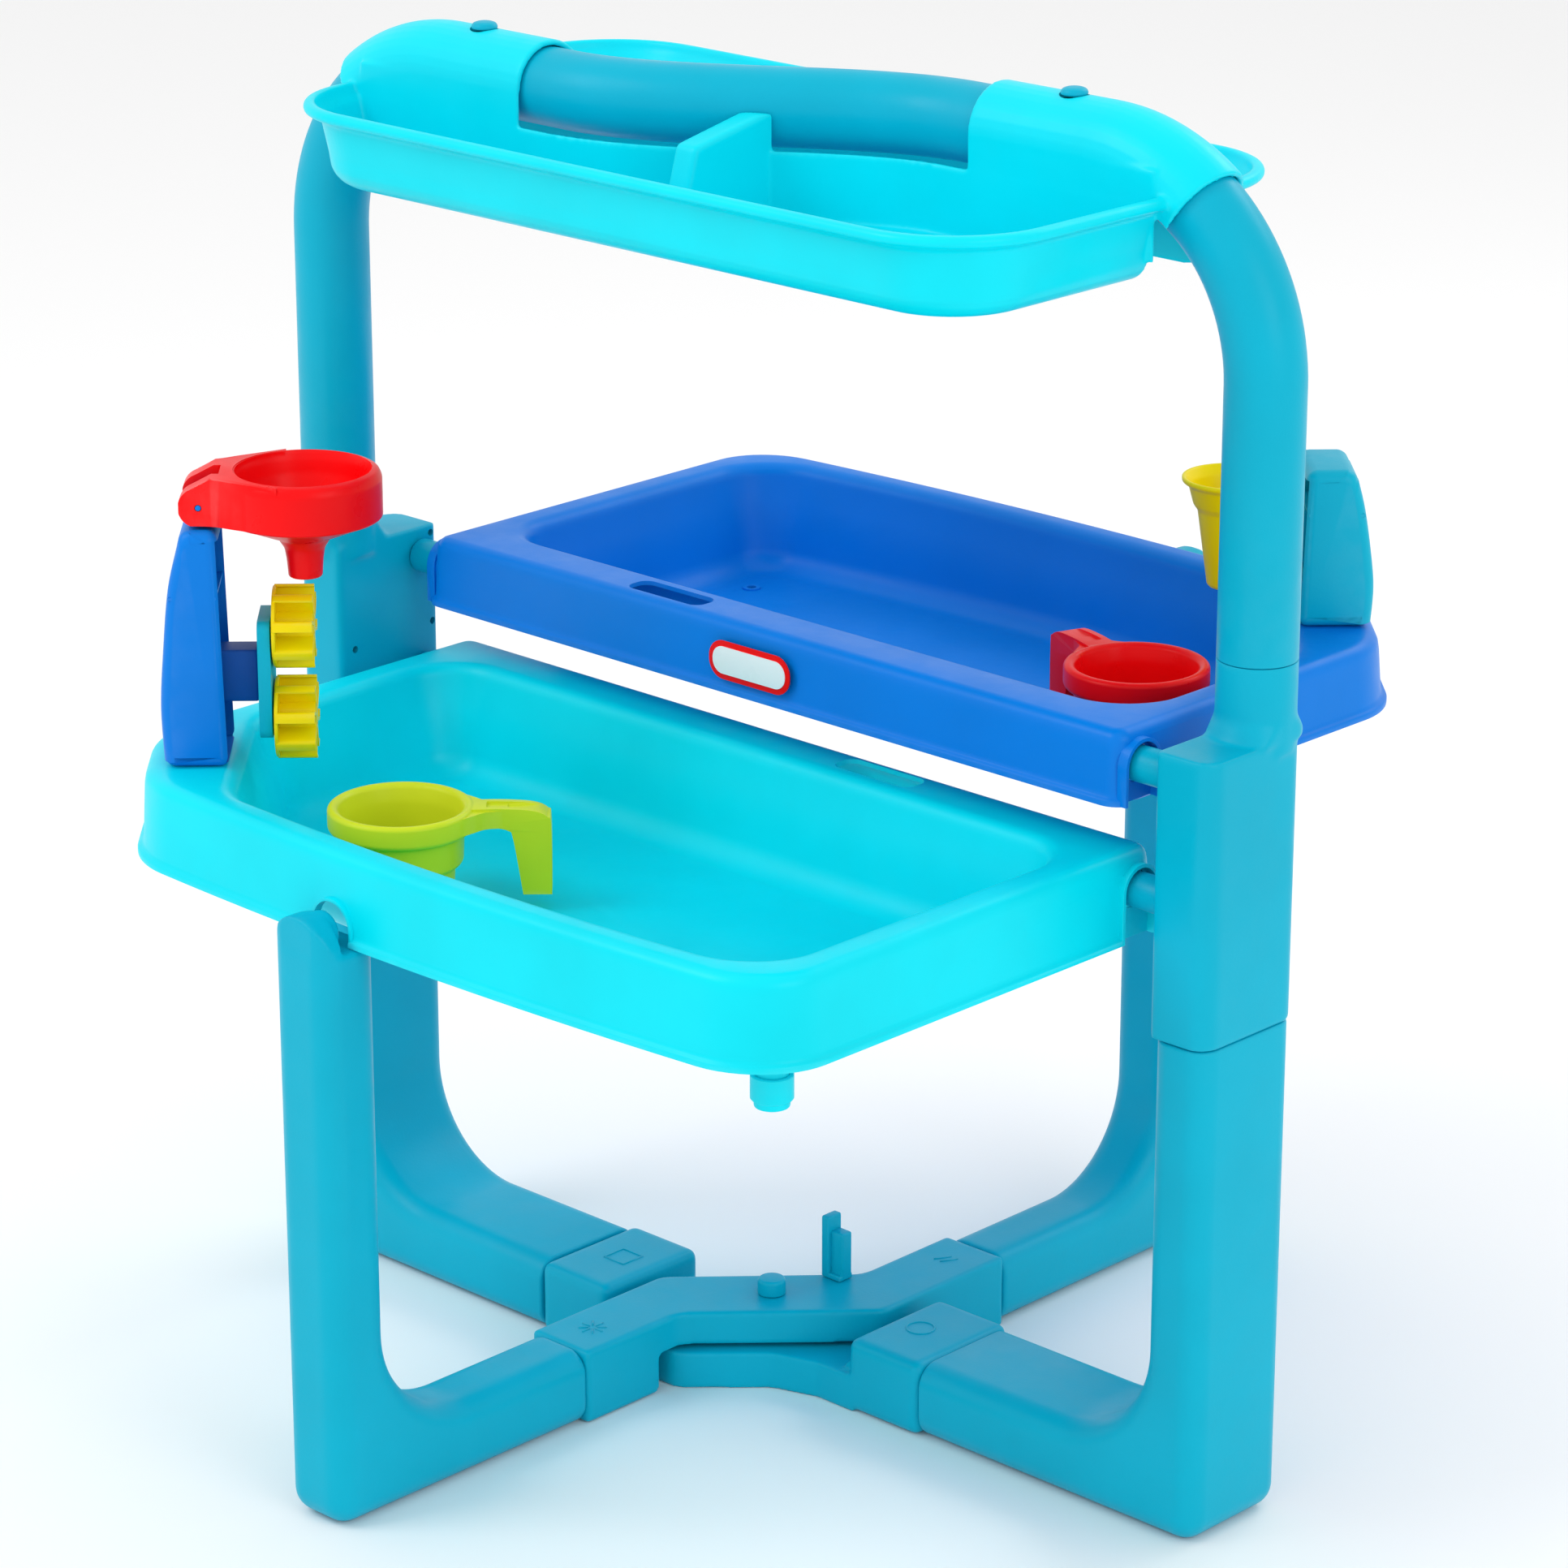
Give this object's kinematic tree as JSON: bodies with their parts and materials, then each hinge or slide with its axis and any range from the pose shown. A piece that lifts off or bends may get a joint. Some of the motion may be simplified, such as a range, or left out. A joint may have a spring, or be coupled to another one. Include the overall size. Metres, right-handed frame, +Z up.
{
  "type": "sand and water table",
  "caption": "Folding sand and water table with hinged trays on crossed legs, a carry arch with a lift-off shelf, water wheels, a funnel, a tipping cup and scoops.",
  "frame": {"origin": "on the floor under the pivot where the two leg frames cross", "axes": "+X along the tray hinges, from the left post to the right one; +Y from the lower tray towards the upper one; +Z up"},
  "size_m": [0.7978, 0.772, 0.9334],
  "materials": {
    "teal_plastic": "satin, blow moulded",
    "aqua_plastic": "satin, blow moulded",
    "blue_plastic": "satin",
    "dark_blue_plastic": "satin",
    "red_plastic": "gloss",
    "yellow_plastic": "gloss",
    "lime_plastic": "satin",
    "screw_steel": "zinc plated",
    "badge_white": "printed label"
  },
  "bodies": {
    "frame": {"lower_cross_piece": "teal_plastic", "left_leg": "teal_plastic", "right_leg": "teal_plastic", "left_hinge_post": "teal_plastic", "right_hinge_post": "teal_plastic", "arch_tube": "teal_plastic", "lower_pin_left": "teal_plastic", "lower_pin_right": "teal_plastic", "upper_pin_left": "teal_plastic", "upper_pin_right": "teal_plastic", "pivot_pin": "teal_plastic", "left_post_screw_1": "screw_steel", "left_post_screw_2": "screw_steel", "left_post_screw_3": "screw_steel", "right_post_screw_1": "screw_steel", "right_post_screw_2": "screw_steel", "right_post_screw_3": "screw_steel"},
    "leg_pair": {"upper_cross_piece": "teal_plastic", "front_leg": "teal_plastic", "back_leg": "teal_plastic", "latch_peg": "teal_plastic"},
    "lower_tray_set": {"lower_tray": "aqua_plastic", "wheel_tower": "blue_plastic", "wheel_bracket": "dark_blue_plastic", "wheel_plate": "teal_plastic", "upper_wheel_axle": "yellow_plastic", "lower_wheel_axle": "yellow_plastic", "funnel_pin": "blue_plastic"},
    "upper_tray_set": {"upper_tray": "blue_plastic", "cup_tower": "teal_plastic", "cup_bracket": "teal_plastic", "cup_pin": "teal_plastic", "badge": "badge_white"},
    "upper_wheel_body": {"upper_wheel": "yellow_plastic"},
    "lower_wheel_body": {"lower_wheel": "yellow_plastic"},
    "funnel_body": {"funnel": "red_plastic"},
    "tipping_cup_body": {"tipping_cup": "yellow_plastic"},
    "shelf_body": {"shelf": "aqua_plastic"},
    "button_left_body": {"shelf_button_left": "teal_plastic"},
    "button_right_body": {"shelf_button_right": "teal_plastic"},
    "lime_scoop_body": {"lime_scoop": "lime_plastic"},
    "red_scoop_body": {"red_scoop": "red_plastic"},
    "lower_cap_body": {"lower_drain_cap": "aqua_plastic"},
    "upper_cap_body": {"upper_drain_cap": "blue_plastic"}
  },
  "joints": [
    {"name": "leg_fold", "type": "hinge", "parent": "frame", "child": "leg_pair", "pos_m": [0, 0, 0.03], "axis": [0, 0, 1], "range_deg": [0, 90]},
    {"name": "lower_tray_tilt", "type": "hinge", "parent": "frame", "child": "lower_tray_set", "pos_m": [0, 0.0025, 0.437], "axis": [-1, 0, 0], "range_deg": [0, 32]},
    {"name": "upper_tray_tilt", "type": "hinge", "parent": "frame", "child": "upper_tray_set", "pos_m": [0, 0.0025, 0.522], "axis": [1, 0, 0], "range_deg": [0, 32]},
    {"name": "upper_wheel_spin", "type": "hinge", "parent": "lower_tray_set", "child": "upper_wheel_body", "pos_m": [-0.2208, -0.2488, 0.553], "axis": [0.7071, 0.7071, 0], "continuous": true},
    {"name": "lower_wheel_spin", "type": "hinge", "parent": "lower_tray_set", "child": "lower_wheel_body", "pos_m": [-0.2208, -0.2488, 0.4895], "axis": [0.7071, 0.7071, 0], "continuous": true},
    {"name": "funnel_flip", "type": "hinge", "parent": "lower_tray_set", "child": "funnel_body", "pos_m": [-0.25276, -0.28076, 0.642], "axis": [0.7071, -0.7071, 0], "range_deg": [0, 30]},
    {"name": "cup_tip", "type": "hinge", "parent": "upper_tray_set", "child": "tipping_cup_body", "pos_m": [0.20892, 0.22792, 0.613], "axis": [0.7071, 0.7071, 0], "range_deg": [-100, 100]},
    {"name": "shelf_lift", "type": "slide", "parent": "frame", "child": "shelf_body", "axis": [0, 0, 1], "range_m": [0, 0.15]},
    {"name": "button_left_press", "type": "slide", "parent": "shelf_body", "child": "button_left_body", "axis": [0, 0, -1], "range_m": [0, 0.0035], "stiffness_N_per_m": 300, "springref_m": -0.002},
    {"name": "button_right_press", "type": "slide", "parent": "shelf_body", "child": "button_right_body", "axis": [0, 0, -1], "range_m": [0, 0.0035], "stiffness_N_per_m": 300, "springref_m": -0.002},
    {"name": "lime_scoop_lift", "type": "slide", "parent": "lower_tray_set", "child": "lime_scoop_body", "axis": [0, 0, 1], "range_m": [0, 0.15]},
    {"name": "red_scoop_lift", "type": "slide", "parent": "upper_tray_set", "child": "red_scoop_body", "axis": [0, 0, 1], "range_m": [0, 0.15]},
    {"name": "lower_cap_pull", "type": "slide", "parent": "lower_tray_set", "child": "lower_cap_body", "axis": [0, 0, -1], "range_m": [0, 0.03]},
    {"name": "upper_cap_pull", "type": "slide", "parent": "upper_tray_set", "child": "upper_cap_body", "axis": [0, 0, -1], "range_m": [0, 0.03]}
  ],
  "couplings": [
    {"joint": "lower_tray_tilt", "follows": "leg_fold", "ratio": 0.3555},
    {"joint": "upper_tray_tilt", "follows": "leg_fold", "ratio": 0.3555}
  ]
}
